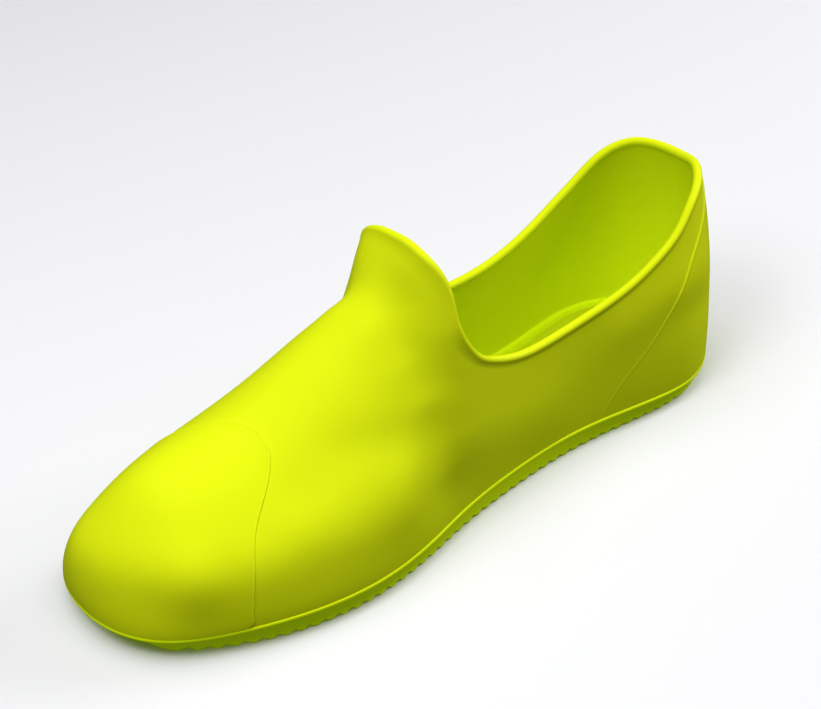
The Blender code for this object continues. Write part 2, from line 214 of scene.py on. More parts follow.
CREASES: tuple[Crease, ...] = (
    Crease(
        "outer shoulder", 2.3, 13.0,
        ((124.0, 25.0, 30.0), (106.0, 33.0, 32.0), (71.0, 41.5, 33.0), (49.0, 42.8, 32.6)),
    ),
    Crease("throat fill", 2.0, 9.0, ((27.5, 24.5, 71.0), (27.5, 29.7, 62.0))),
    Crease("tab fill", 1.5, 10.0, ((29.5, 12.5, 86.8), (25.9, 18.6, 85.0))),
    Crease("tab margin", 2.3, 12.0, ((13.8, 19.1, 105.8), (12.6, 25.3, 97.0), (12.8, 29.0, 86.2))),
    Crease("instep fill", 1.0, 7.0, ((30.5, -12.0, 90.5), (33.5, -12.5, 87.5))),
    Crease("tab corner", 1.4, 9.0, ((15.6, -12.0, 102.2), (18.5, -10.5, 98.0))),
    Crease("flank fill", 0.6, 9.0, ((27.0, 34.4, 50.0), (27.0, 38.7, 36.0))),
    Crease("throat margin", 2.2, 16.0, ((10.0, 33.5, 67.0), (12.0, 36.5, 55.0), (13.0, 38.0, 47.0))),
    Crease("ball trough", -0.6, 8.0, ((62.0, 27.0, 57.0), (46.0, 32.3, 54.3))),
    Crease(
        "ball ridge", 0.7, 9.0,
        ((42.0, 37.9, 42.9), (53.3, 37.7, 43.5), (66.1, 36.6, 43.0), (86.0, 34.0, 39.8)),
    ),
    Crease(
        "arch trough", -0.15, 9.0,
        ((20.6, 40.1, 22.3), (36.8, 42.3, 27.9), (49.7, 43.5, 29.0), (64.0, 42.8, 31.0)),
    ),
    Crease("throat swell", 0.2, 7.0, ((25.5, 30.7, 62.8), (14.9, 34.7, 55.3))),
    Crease("waist swell", 0.7, 13.0, ((14.0, 38.5, 34.0), (-8.0, 36.0, 32.0), (-30.0, 34.5, 28.0))),
    Crease("heel swell", 0.7, 25.0, ((-143.0, -1.0, 20.0), (-143.5, -1.0, 50.0), (-141.0, -1.0, 80.0))),
    Crease("counter swell", 1.0, 12.0, ((-75.0, 36.0, 48.0), (-98.0, 36.0, 52.0), (-115.0, 33.0, 54.0))),
    Crease(
        "counter hollow", -0.35, 8.0,
        ((-97.3, 36.5, 42.0), (-108.1, 36.0, 41.5), (-121.5, 32.1, 37.4)),
    ),
    Crease(
        "toe shoulder", 1.8, 11.0,
        ((141.9, -20.7, 28.4), (142.0, -5.4, 31.1), (136.3, 9.7, 32.9), (126.8, 21.1, 32.8)),
    ),
)


def linear(code: str) -> tuple[float, float, float, float]:
    """Turn an sRGB hex colour into a linear colour.

    Args:
        code: Six hex digits after a hash sign.

    Returns:
        Red, green, blue and an opaque alpha.
    """
    values = [int(code[i:i + 2], 16) / 255.0 for i in (1, 3, 5)]
    light = [v / 12.92 if v <= 0.04045 else ((v + 0.055) / 1.055) ** 2.4 for v in values]
    return (light[0], light[1], light[2], 1.0)


def smoothstep(value: np.ndarray) -> np.ndarray:
    """Change softly from 0 to 1."""
    value = np.clip(value, 0.0, 1.0)
    return value * value * (3.0 - 2.0 * value)


def turn_of(station: np.ndarray) -> np.ndarray:
    """Even parameter along the shoe, closer spaced at heel and nose."""
    return np.arccos(1.0 - 2.0 * np.clip(station, 0.0, 1.0)) / math.pi


def station_of(turn: np.ndarray) -> np.ndarray:
    """Share of the length that a turn stands for."""
    return (1.0 - np.cos(math.pi * np.asarray(turn, dtype=float))) / 2.0


class Spline:
    """Natural cubic curve through a short table of values."""

    def __init__(self, places: np.ndarray, values: np.ndarray) -> None:
        """Solve the curve once.

        Args:
            places: Rising places of the table.
            values: Value at each place.
        """
        self.places = np.asarray(places, dtype=float)
        self.values = np.asarray(values, dtype=float)
        count = len(self.places)
        step = np.diff(self.places)
        rise = np.diff(self.values) / step
        matrix = np.eye(count)
        right = np.zeros(count)
        for i in range(1, count - 1):
            matrix[i, i - 1] = step[i - 1]
            matrix[i, i] = 2.0 * (step[i - 1] + step[i])
            matrix[i, i + 1] = step[i]
            right[i] = 3.0 * (rise[i] - rise[i - 1])
        self.bend = np.linalg.solve(matrix, right)
        self.slope = rise - step * (2.0 * self.bend[:-1] + self.bend[1:]) / 3.0
        self.twist = np.diff(self.bend) / (3.0 * step)

    def __call__(self, place: np.ndarray) -> np.ndarray:
        """Value of the curve at a place or an array of places."""
        place = np.asarray(place, dtype=float)
        i = np.clip(np.searchsorted(self.places, place) - 1, 0, len(self.places) - 2)
        u = place - self.places[i]
        return self.values[i] + u * (self.slope[i] + u * (self.bend[i] + u * self.twist[i]))


@dataclass
class Last:
    """Outer skin of the overshoe through its section table, in millimetres.

    The back fields shape the heel: how far it is drawn in, leans and bulges, and where that fades out.
    bead_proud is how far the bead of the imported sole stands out.
    """

    length: float = 300.0
    back_draw: float = 8.7
    back_lean: float = 4.6
    back_bulge: float = 2.0
    back_reach: float = 0.30
    back_height: float = 80.0
    back_over: float = 1.2
    bead_proud: float = 1.0

    def __post_init__(self) -> None:
        """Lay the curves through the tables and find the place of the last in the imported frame."""
        turns = turn_of(np.array([row.station for row in SECTIONS]))
        names = ("middle", "outer", "inner", "crown", "side", "ridge")
        self.curves: dict[str, Spline] = {}
        for name in names:
            values = np.array([getattr(row, name) for row in SECTIONS])
            self.curves[name] = Spline(turns, values)
        self.feather = Spline(*np.array(FEATHER).T)
        high = np.array(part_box("outsole")[1]) / MM
        around = np.linspace(0.0, 1.0, OUTLINE_STEPS)
        widest = self.outline(around, Side.OUTER, self.bead_proud)[:, 1].max()
        self.shift = np.array([high[0] - self.length / 2.0 - self.bead_proud, high[1] - widest, 0.0])

    def to_frame(self, points: np.ndarray) -> np.ndarray:
        """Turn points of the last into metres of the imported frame."""
        return (np.asarray(points) + self.shift) * MM

    def point(self, turn: np.ndarray, angle: np.ndarray, side: float) -> np.ndarray:
        """Find points of the skin.

        Args:
            turn: Parameter along the shoe.
            angle: Angle up the section, 0 at the feather line and a right angle on the ridge.
            side: 1 for the outer side, -1 for the inner side.

        Returns:
            Points in millimetres, with the coordinates on the last axis.
        """
        station = station_of(turn)
        base = self.feather(station)
        tall = np.maximum(self.curves["crown"](turn) - base, 0.0)
        across = np.clip(np.cos(angle), 1e-9, 1.0) ** (2.0 / self.curves["side"](turn))
        up = np.clip(np.sin(angle), 0.0, 1.0) ** (2.0 / self.curves["ridge"](turn))
        half = np.where(np.asarray(side) > 0, self.curves["outer"](turn), self.curves["inner"](turn))
        y = self.curves["middle"](turn) + side * half * across
        z = base + tall * up
        level = np.clip((z - base) / self.back_height, 0.0, self.back_over)
        near_back = np.clip(1.0 - station / self.back_reach, 0.0, 1.0) ** 2
        bulge = self.back_bulge * np.sin(math.pi * np.clip(level, 0.0, 1.0))
        lean = self.back_lean * level ** 3
        x = self.length * (station - 0.5) + near_back * (self.back_draw + lean - bulge)
        return np.stack(np.broadcast_arrays(x, y, z), axis=-1)

    def angle_at(self, turn: np.ndarray, height: np.ndarray) -> np.ndarray:
        """Angle in the section at which the skin reaches a height."""
        base = self.feather(station_of(turn))
        share = np.clip((height - base) / (self.curves["crown"](turn) - base), 0.0, 1.0)
        return np.arcsin(np.clip(share ** (self.curves["ridge"](turn) / 2.0), 0.0, 1.0))

    def outline(self, turn: np.ndarray, side: Side, offset: np.ndarray | float = 0.0) -> np.ndarray:
        """Feather line in plan, moved outward by an offset.

        Args:
            turn: Parameters along the shoe.
            side: The side of the shoe.
            offset: Distance outward, one number or one for each turn.

        Returns:
            X and Y of each point in millimetres.
        """
        turn = np.asarray(turn, dtype=float)
        small = 1e-4
        before = self.point(np.clip(turn - small, 0.0, 1.0), 0.0, side.value)
        after = self.point(np.clip(turn + small, 0.0, 1.0), 0.0, side.value)
        along = (after - before)[..., :2]
        along = along / np.linalg.norm(along, axis=-1, keepdims=True)
        out = side.value * np.stack([-along[..., 1], along[..., 0]], axis=-1)
        return self.point(turn, 0.0, side.value)[..., :2] + out * np.asarray(offset)[..., None]


class Opening:
    """Collar line as a smooth curve of turn and angle over its own length."""

    def __init__(self, last: Last) -> None:
        """Lay the curve through the collar table.

        Args:
            last: The last that carries the collar.
        """
        station, height = np.array(COLLAR).T
        turn = turn_of(station)
        angle = last.angle_at(turn, height)
        angle[-1] = math.pi / 2.0
        points = last.point(turn, angle, 1.0)
        run = np.concatenate([[0.0], np.cumsum(np.linalg.norm(np.diff(points, axis=0), axis=1))])
        self.total = run[-1]
        wide_run = np.concatenate([[-run[1]], run, [2.0 * run[-1] - run[-2]]])
        self.turn_curve = Spline(wide_run, np.concatenate([[-turn[1]], turn, [turn[-2]]]))
        self.angle_curve = Spline(wide_run, np.concatenate([[angle[1]], angle, [math.pi - angle[-2]]]))

    def at(self, run: np.ndarray) -> tuple[np.ndarray, np.ndarray]:
        """Turn and angle at a length along the collar from the heel."""
        turn = np.clip(self.turn_curve(run), 0.0, 1.0)
        return turn, np.clip(self.angle_curve(run), 0.0, math.pi / 2.0)

    def run_at_turn(self, turn: float) -> float:
        """Length along the collar at which it stands over a turn."""
        runs = np.linspace(0.0, self.total, COLLAR_STEPS)
        return float(np.interp(turn, np.maximum.accumulate(self.at(runs)[0]), runs))


@dataclass
class Skin:
    """The creased skin of the shell, read along rails from the feather line to the collar.

    Rails up to the turn split end above their start, and the others share out the tab. Between
    fan_start and fan_end they come to fan out from the nose.
    """

    last: Last
    opening: Opening
    split: float = 0.42
    fan_start: float = 0.45
    fan_end: float = 0.75
    samples: int = 240

    def rail(self, turn: float, side: Side) -> np.ndarray:
        """One line on the smooth last from the feather line to the collar.

        Args:
            turn: Where the rail starts on the feather line.
            side: The side of the shoe.

        Returns:
            Points up the rail in millimetres.
        """
        if turn <= self.split:
            run = self.opening.run_at_turn(turn)
        else:
            start = self.opening.run_at_turn(self.split)
            run = start + (self.opening.total - start) * (turn - self.split) / (1.0 - self.split)
        end_turn, end_angle = self.opening.at(run)
        if turn >= 1.0:
            end_angle = math.pi / 2.0
        share = np.linspace(0.0, 1.0, self.samples)
        reach = 1.0 - turn
        end_reach = 1.0 - end_turn
        flat_x = reach + (end_reach * math.cos(end_angle) - reach) * share
        flat_y = end_reach * math.sin(end_angle) * share
        mix = smoothstep((turn - self.fan_start) / (self.fan_end - self.fan_start))
        radius = (1.0 - mix) * (reach + (end_reach - reach) * share) + mix * np.hypot(flat_x, flat_y)
        angle = (1.0 - mix) * end_angle * share + mix * np.arctan2(flat_y, flat_x)
        return self.last.point(1.0 - radius, angle, side.value)

    @staticmethod
    def relief(points: np.ndarray) -> np.ndarray:
        """Rise of the listed creases at points of the skin."""
        total = np.zeros(points.shape[:-1])
        for crease in CREASES:
            path = np.array(crease.path)
            nearest = np.full(points.shape[:-1], np.inf)
            for start, end in zip(path[:-1], path[1:]):
                along = end - start
                share = np.clip(((points - start) @ along) / (along @ along), 0.0, 1.0)
                gap = np.linalg.norm(points - (start + share[..., None] * along), axis=-1)
                nearest = np.minimum(nearest, gap)
            total += crease.height * np.exp(-((nearest / crease.width) ** 2))
        return total

    @staticmethod
    def normals(points: np.ndarray, closed: bool) -> np.ndarray:
        """Outward directions of a grid of rails.

        Args:
            points: Rails on the first axis, points up each rail on the second.
            closed: Whether the last rail neighbours the first.

        Returns:
            A unit vector for each point.
        """
        if closed:
            around = np.roll(points, -1, axis=0) - np.roll(points, 1, axis=0)
        else:
            around = np.gradient(points, axis=0)
        out = np.cross(np.gradient(points, axis=1), around)
        out[:, 0, 2] = 0.0
        return out / np.maximum(np.linalg.norm(out, axis=-1, keepdims=True), LEAST_NORMAL)

    def sheet(self, rails: Rails, closed: bool) -> tuple[np.ndarray, np.ndarray, np.ndarray]:
        """Read the creased skin along several rails.

        Args:
            rails: Turn and side of each rail, in order round the shoe.
            closed: Whether the rails go right round.

        Returns:
            Points, outward normals and lengths up each rail.
        """
        points = np.stack([self.rail(turn, side) for turn, side in rails])
        smooth = self.normals(points, closed)
        points = points + self.relief(points)[..., None] * smooth
        normal = self.normals(points, closed)
        step = np.linalg.norm(np.diff(points, axis=1), axis=-1)
        run = np.concatenate([np.zeros((len(rails), 1)), np.cumsum(step, axis=1)], axis=1)
        return points, normal, run


def read_rows(values: np.ndarray, run: np.ndarray, places: np.ndarray) -> np.ndarray:
    """Read vectors along rails at given lengths.

    Args:
        values: Vectors along each rail.
        run: Lengths along each rail.
        places: Wanted lengths on each rail.

    Returns:
        Vectors with the rails on the first axis and the places on the second.
    """
    rails = []
    for value, length, place in zip(values, run, places):
        rails.append(np.stack([np.interp(place, length, value[:, k]) for k in range(3)], axis=-1))
    return np.stack(rails)


def wrap_grid(name: str, points: np.ndarray, crisp: float) -> bpy.types.Object:
    """Add a grid and wrap it onto a form, then weld its seams and turn its faces outward.

    Args:
        name: Name of the new piece.
        points: Points in metres, rows on the first axis and columns on the second.
        crisp: Angle in degrees past which an edge is drawn sharp.

    Returns:
        The new object.
    """
    rows, columns = points.shape[:2]
    bpy.ops.object.select_all(action="DESELECT")
    bpy.ops.mesh.primitive_grid_add(x_subdivisions=columns - 1, y_subdivisions=rows - 1, size=1.0)
    item = bpy.context.active_object
    item.name = name
    item.data.name = name
    item.data.vertices.foreach_set("co", np.ascontiguousarray(points, dtype=np.float32).reshape(-1))
    item.data.update()
    bpy.ops.object.mode_set(mode="EDIT")
    bpy.ops.mesh.select_all(action="SELECT")
    bpy.ops.mesh.remove_doubles(threshold=WELD_GAP)
    bpy.ops.mesh.dissolve_degenerate(threshold=FLAT_GAP)
    bpy.ops.mesh.select_all(action="SELECT")
    bpy.ops.mesh.normals_make_consistent(inside=False)
    bpy.ops.object.mode_set(mode="OBJECT")
    bpy.ops.object.shade_smooth_by_angle(angle=math.radians(crisp))
    return item


def add_node(
    tree: bpy.types.NodeTree,
    kind: str,
    settings: dict[str | int, object],
    links: dict[str | int, bpy.types.NodeSocket],
) -> bpy.types.Node:
    """Add one node with its settings and links.

    Args:
        tree: Node tree that gets the node.
        kind: Blender's name for the node type.
        settings: Values by socket name or number, or by the node's own property.
        links: Sockets to link from, by input name or number.

    Returns:
        The new node.
    """
    node = tree.nodes.new(kind)
    for key, value in settings.items():
        if isinstance(key, str) and hasattr(node, key):
            setattr(node, key, value)
        else:
            node.inputs[key].default_value = value
    for key, socket in links.items():
        tree.links.new(socket, node.inputs[key])
    return node


@dataclass(frozen=True)
class RubberFinish:
    """Moulded silicone rubber: dyed through, satin from a fine blasted mould, a little cloudy.

    The blasted mould spreads highlights into broad soft patches. The emission is painted light: a
    constant green-yellow light from the surface that lifts and greens the shaded parts. Sizes and depths
    are in millimetres.
    """

    name: str
    body: str
    cloud: str
    roughness: float = 0.46
    rough_spread: float = 0.05
    cloud_mm: float = 45.0
    grain_mm: float = 0.5
    grain_depth: float = 0.012
    wave_mm: float = 30.0
    wave_depth: float = 0.35
    gloss: float = 0.16
    gloss_tint: str = "#FFEE28"
    # Painted light: constant emission strength and colour that brighten and green the shade
    painted_light_glow: float = 0.04
    painted_light_tint: str = "#B4E000"

    def material(self) -> bpy.types.Material:
        """Build the node material and return it."""
        material = bpy.data.materials.new(self.name)
        material.use_nodes = True
        tree = material.node_tree
        shader = tree.nodes["Principled BSDF"]
        place = add_node(tree, "ShaderNodeTexCoord", {}, {}).outputs["Object"]
        cloud = add_node(
            tree,
            "ShaderNodeTexNoise",
            {"Scale": 1.0 / (self.cloud_mm * MM), "Detail": 3.0, "Roughness": 0.55},
            {"Vector": place},
        )
        tone = add_node(
            tree,
            "ShaderNodeMix",
            {"data_type": "RGBA", MIX_FIRST: linear(self.body), MIX_SECOND: linear(self.cloud)},
            {MIX_SHARE: cloud.outputs["Fac"]},
        )
        grain = add_node(
            tree,
            "ShaderNodeTexNoise",
            {"Scale": 1.0 / (self.grain_mm * MM), "Detail": 2.0, "Roughness": 0.6},
            {"Vector": place},
        )
        wave = add_node(
            tree,
            "ShaderNodeTexNoise",
            {"Scale": 1.0 / (self.wave_mm * MM), "Detail": 2.0, "Roughness": 0.4},
            {"Vector": place},
        )
        rough = add_node(
            tree,
            "ShaderNodeMapRange",
            {
                RANGE_LOW: self.roughness - self.rough_spread,
                RANGE_HIGH: self.roughness + self.rough_spread,
            },
            {RANGE_VALUE: wave.outputs["Fac"]},
        )
        broad = add_node(
            tree,
            "ShaderNodeBump",
            {"Strength": 1.0, "Distance": self.wave_depth * MM},
            {"Height": wave.outputs["Fac"]},
        )
        fine = add_node(
            tree,
            "ShaderNodeBump",
            {"Strength": 1.0, "Distance": self.grain_depth * MM},
            {"Height": grain.outputs["Fac"], "Normal": broad.outputs["Normal"]},
        )
        tree.links.new(tone.outputs[MIX_COLOUR], shader.inputs["Base Color"])
        tree.links.new(rough.outputs["Result"], shader.inputs["Roughness"])
        tree.links.new(fine.outputs["Normal"], shader.inputs["Normal"])
        shader.inputs["IOR"].default_value = RUBBER_IOR
        shader.inputs["Specular IOR Level"].default_value = self.gloss
        shader.inputs["Specular Tint"].default_value = linear(self.gloss_tint)
        # Painted light: a constant emission that lifts the shaded parts
        shader.inputs["Emission Color"].default_value = linear(self.painted_light_tint)
        shader.inputs["Emission Strength"].default_value = self.painted_light_glow
        return material


SHELL_RUBBER = RubberFinish(
    name="moulded silicone rubber shell",
    body="#E0ED14",
    cloud="#DBE912",
)
CAP_RUBBER = RubberFinish(
    name="moulded silicone rubber toe cap",
    body="#E1EE14",
    cloud="#DDEA12",
    roughness=0.44,
)
COUNTER_RUBBER = RubberFinish(
    name="moulded silicone rubber counter",
    body="#DEEB14",
    cloud="#D9E712",
)
SOLE_RUBBER = RubberFinish(
    name="moulded silicone rubber sole",
    body="#DDE814",
    cloud="#D6E112",
    roughness=0.52,
    rough_spread=0.06,
    cloud_mm=30.0,
    grain_mm=0.6,
    grain_depth=0.02,
    wave_mm=20.0,
    wave_depth=0.2,
    # Painted light: a stronger emission lifts the sole's shaded side
    painted_light_glow=0.24,
)
FOOTBED_RUBBER = RubberFinish(
    name="textured silicone rubber footbed",
    body="#C8D312",
    cloud="#BFCA10",
    roughness=0.62,
    rough_spread=0.06,
    cloud_mm=30.0,
    grain_mm=1.1,
    grain_depth=0.09,
    wave_mm=24.0,
    wave_depth=0.2,
)


def dress(item: bpy.types.Object, finish: RubberFinish, node: str) -> None:
    """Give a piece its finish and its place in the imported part.

    Args:
        item: The finished piece.
        finish: The finish it shows.
        node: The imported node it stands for.
    """
    item.data.materials.clear()
    item.data.materials.append(finish.material())
    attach(item, "root")
    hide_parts(node)
    LOG.info("%s: %d faces, %s", item.name, len(item.data.polygons), finish.name)


@dataclass
class Upper:
    """Hollow shell with a rolled rim, open at the collar and underneath.

    The wall ends rim_foot below the edge of the opening. Behind rim_level the rim sinks by rim_drop
    within rim_blend, and by rim_scoop more at the front of the dip. On the outer edge of the tab it
    lies rim_lift higher from rim_height up and rim_out further out, eased in over rim_ease.
    """

    skin: Skin
    wall: float = 2.2
    rim_radius: float = 1.8
    rim_foot: float = 5.8
    rim_start: float = -34.0
    rim_end: float = 228.0
    rim_drop: float = 2.0
    rim_scoop: float = 1.2
    rim_lift: float = 1.0
    rim_out: float = 0.6
    rim_height: float = 80.0
    rim_ease: float = 15.0
    rim_level: float = 10.0
    rim_blend: float = 40.0
    seat: float = 0.28
    rails_per_side: int = 150
    wall_rows: int = 64
    row_crowding: float = 0.25
    rim_steps: int = 19

    def rails(self) -> Rails:
        """Rails right round the shoe, outer side from heel to nose, then the inner side back."""
        turns = np.linspace(0.0, 1.0, self.rails_per_side + 1)
        outer = [(float(turn), Side.OUTER) for turn in turns]
        return outer + [(float(turn), Side.INNER) for turn in turns[-2:0:-1]]

    def rim(self, edge: np.ndarray, normal: np.ndarray, up: np.ndarray) -> np.ndarray:
        """Rows round the rolled rim, from its outer foot to its inner foot.

        Args:
            edge: Top of each rail.
            normal: Outward direction at each top.
            up: Direction of each rail at its top.

        Returns:
            Points with the rails on the first axis and the rows on the second.
        """
        along, across, height = edge.T
        behind = smoothstep((self.rim_level - along) / self.rim_blend)
        scoop = self.rim_scoop * np.exp(-((along / self.rim_level) ** 2))
        outer = smoothstep(across / self.rim_ease)
        lift = self.rim_lift * outer * smoothstep((height - self.rim_height) / self.rim_ease)
        drop = self.rim_radius + self.rim_drop * behind + scoop - lift
        inset = 0.5 * self.wall - self.rim_out * outer * smoothstep(along / self.rim_ease)
        centre = edge - drop[:, None] * up - inset[:, None] * normal
        rows = []
        for degrees in np.linspace(self.rim_start, self.rim_end, self.rim_steps):
            angle = math.radians(degrees)
            spoke = math.cos(angle) * normal + math.sin(angle) * up
            rows.append(centre + self.rim_radius * spoke)
        return np.stack(rows, axis=1)

    def build(self) -> bpy.types.Object:
        """Build the shell and return the new object."""
        points, normals, run = self.skin.sheet(self.rails(), True)
        share = np.linspace(0.0, 1.0, self.wall_rows)
        crowded = 1.0 - (1.0 - share) ** 2
        share = (1.0 - self.row_crowding) * share + self.row_crowding * crowded
        places = (run[:, -1:] - self.rim_foot) * share[None, :]
        outer = read_rows(points, run, places)
        normal = read_rows(normals, run, places)
        normal = normal / np.linalg.norm(normal, axis=-1, keepdims=True)
        edge = points[:, -1]
        edge_normal = normals[:, -2]
        up = edge - outer[:, -1]
        up = up - np.sum(up * edge_normal, axis=-1, keepdims=True) * edge_normal
        up = up / np.linalg.norm(up, axis=-1, keepdims=True)
        rim = self.rim(edge, edge_normal, up)
        inner = (outer - self.wall * normal)[:, ::-1]
        drop = np.array([0.0, 0.0, -self.seat])
        foot = (outer[:, :1] + drop, inner[:, -1:] + drop)
        loop = np.concatenate([foot[0], outer, rim, inner, foot[1], foot[0]], axis=1)
        loop = np.concatenate([loop, loop[:1]], axis=0)
        return wrap_grid("upper_shell", self.skin.last.to_frame(loop), SHELL_CRISP)

    def make(self) -> None:
        """Build the shell and dress it."""
        dress(self.build(), SHELL_RUBBER, "upper")


@dataclass
class Overlay:
    """A thin layer moulded on the shell, thinning out softly at its edge.

    It stands proud of the shell and sinks to under across the lip, with a fine bead along the edge.
    Between the two heights in fade the edge thins downward to least_rise of itself.
    """

    skin: Skin
    proud: float = 0.4
    under: float = -0.15
    rails_per_side: int = 90
    rows: int = 60
    lip: float = 1.6
    lip_rows: int = 13
    lip_reach: float = 1.5
    bead: float = 0.3
    bead_width: float = 0.55
    bead_place: float = 0.55
    fade: tuple[float, float] = (-1.0, 0.0)
    least_rise: float = 0.35
    crisp: float = 70.0

    def limits(self, points: np.ndarray, run: np.ndarray) -> np.ndarray:
        """Length up each rail at which the layer ends; each kind of layer has its own edge."""
        raise NotImplementedError

    def rails(self) -> Rails:
        """Rails that the layer covers, in the same sense round the shoe as those of the shell."""
        raise NotImplementedError

    @staticmethod
    def first_outside(inside: np.ndarray, run: np.ndarray) -> np.ndarray:
        """Length at which a signed measure first falls below zero on each rail.

        Args:
            inside: Measure along each rail, above zero inside the layer.
            run: Lengths along each rail.

        Returns:
            One length for each rail, its whole length where it stays inside.
        """
        ends = run[:, -1].copy()
        for i, (value, length) in enumerate(zip(inside, run)):
            below = np.flatnonzero(value < 0.0)
            if len(below) == 0:
                continue
            k = below[0]
            if k == 0:
                ends[i] = 0.0
                continue
            share = value[k - 1] / (value[k - 1] - value[k])
            ends[i] = length[k - 1] + share * (length[k] - length[k - 1])
        return ends

    def build(self, name: str) -> bpy.types.Object:
        """Build the layer as a closed thin shell.

        Args:
            name: Name of the new piece.

        Returns:
            The new object.
        """
        points, normals, run = self.skin.sheet(self.rails(), False)
        ends = self.limits(points, run)
        body_share = np.linspace(0.0, 1.0, self.rows)[:-1]
        lip_share = np.linspace(0.0, 1.0, self.lip_rows)
        reach = self.lip_reach * self.lip
        body = np.maximum(ends - reach, 0.0)[:, None]
        lip = np.minimum(ends, reach)[:, None]
        places = np.concatenate([body * body_share, body + lip * lip_share], axis=1)
        base = read_rows(points, run, places)
        normal = read_rows(normals, run, places)
        gap = ends[:, None] - places
        shoulder = np.sin(0.5 * math.pi * np.clip(gap / self.lip, 0.0, 1.0)) ** 2
        crest = (gap - self.bead_place * self.lip) / self.bead_width
        rise = (self.proud - self.under) * shoulder + self.bead * np.exp(-(crest ** 2))
        low, high = self.fade
        strength = smoothstep((base[:, -1, 2] - low) / (high - low))
        strength = self.least_rise + (1.0 - self.least_rise) * strength
        narrow = np.minimum(ends / (2.0 * self.lip), 1.0)
        rise = self.under + rise * (strength * narrow)[:, None]
        outer = base + rise[..., None] * normal
        inner = base + self.under * normal
        loop = np.concatenate([outer, inner[:, ::-1], outer[:, :1]], axis=1)
        return wrap_grid(name, self.skin.last.to_frame(loop), self.crisp)


@dataclass
class ToeCap(Overlay):
    """Layer over the toe with a back edge that reaches further back on the outer side."""

    def rails(self) -> Rails:
        """Rails from the end of the back edge on the outer side, round the nose, to the inner side."""
        first = float(turn_of(CAP_EDGE[0][1] / self.skin.last.length + 0.5))
        turns = first + (1.0 - first) * np.linspace(0.0, 1.0, self.rails_per_side + 1)
        outer = [(float(turn), Side.OUTER) for turn in turns]
        return outer + [(float(turn), Side.INNER) for turn in turns[-2::-1]]

    def limits(self, points: np.ndarray, run: np.ndarray) -> np.ndarray:
        """Length up each rail at which it meets the back edge of the cap."""
        last = self.skin.last
        edge = Spline(*np.array(CAP_EDGE).T)
        turn = turn_of(points[..., 0] / last.length + 0.5)
        angle = np.degrees(last.angle_at(turn, points[..., 2]))
        angle[self.rails_per_side + 1:] = 180.0 - angle[self.rails_per_side + 1:]
        ends = self.first_outside(points[..., 0] - edge(angle), run)
        ends[0] = 0.0
        ends[-1] = 0.0
        return ends

    def make(self) -> None:
        """Build the cap and dress it."""
        dress(self.build("toe_cap_layer"), CAP_RUBBER, "toe_cap")


@dataclass
class HeelCounter(Overlay):
    """Layer round the heel with a front edge that rises toward the back of the collar.

    It stops rim_clear below the opening. Its front edge starts at the height foot, and corner is the
    bend from that edge into its top.
    """

    proud: float = 0.35
    lip: float = 2.2
    bead: float = 0.35
    bead_width: float = 0.8
    fade: tuple[float, float] = (34.0, 62.0)
    rim_clear: float = 4.6
    corner: float = 2.5
    foot: float = 9.6

    def rails(self) -> Rails:
        """Rails from the front edge on the inner side, round the heel, to the outer side."""
        height, x = np.array(COUNTER_EDGE).T
        start = float(np.interp(self.foot, height, x)) / self.skin.last.length + 0.5
        turns = float(turn_of(start)) * np.linspace(1.0, 0.0, self.rails_per_side + 1)
        inner = [(float(turn), Side.INNER) for turn in turns]
        return inner + [(float(turn), Side.OUTER) for turn in turns[-2::-1]]

    def limits(self, points: np.ndarray, run: np.ndarray) -> np.ndarray:
        """Length up each rail at which it meets the front edge or the foot of the rim."""
        edge = Spline(*np.array(COUNTER_EDGE).T)
        ends = self.first_outside(edge(points[..., 2]) - points[..., 0], run)
        top = run[:, -1] - self.rim_clear
        ends = np.maximum(-self.corner * np.logaddexp(-ends / self.corner, -top / self.corner), 0.0)
        ends[0] = 0.0
        ends[-1] = 0.0
        return ends

    def make(self) -> None:
        """Build the counter and dress it."""
        dress(self.build("heel_counter_layer"), COUNTER_RUBBER, "heel_counter")


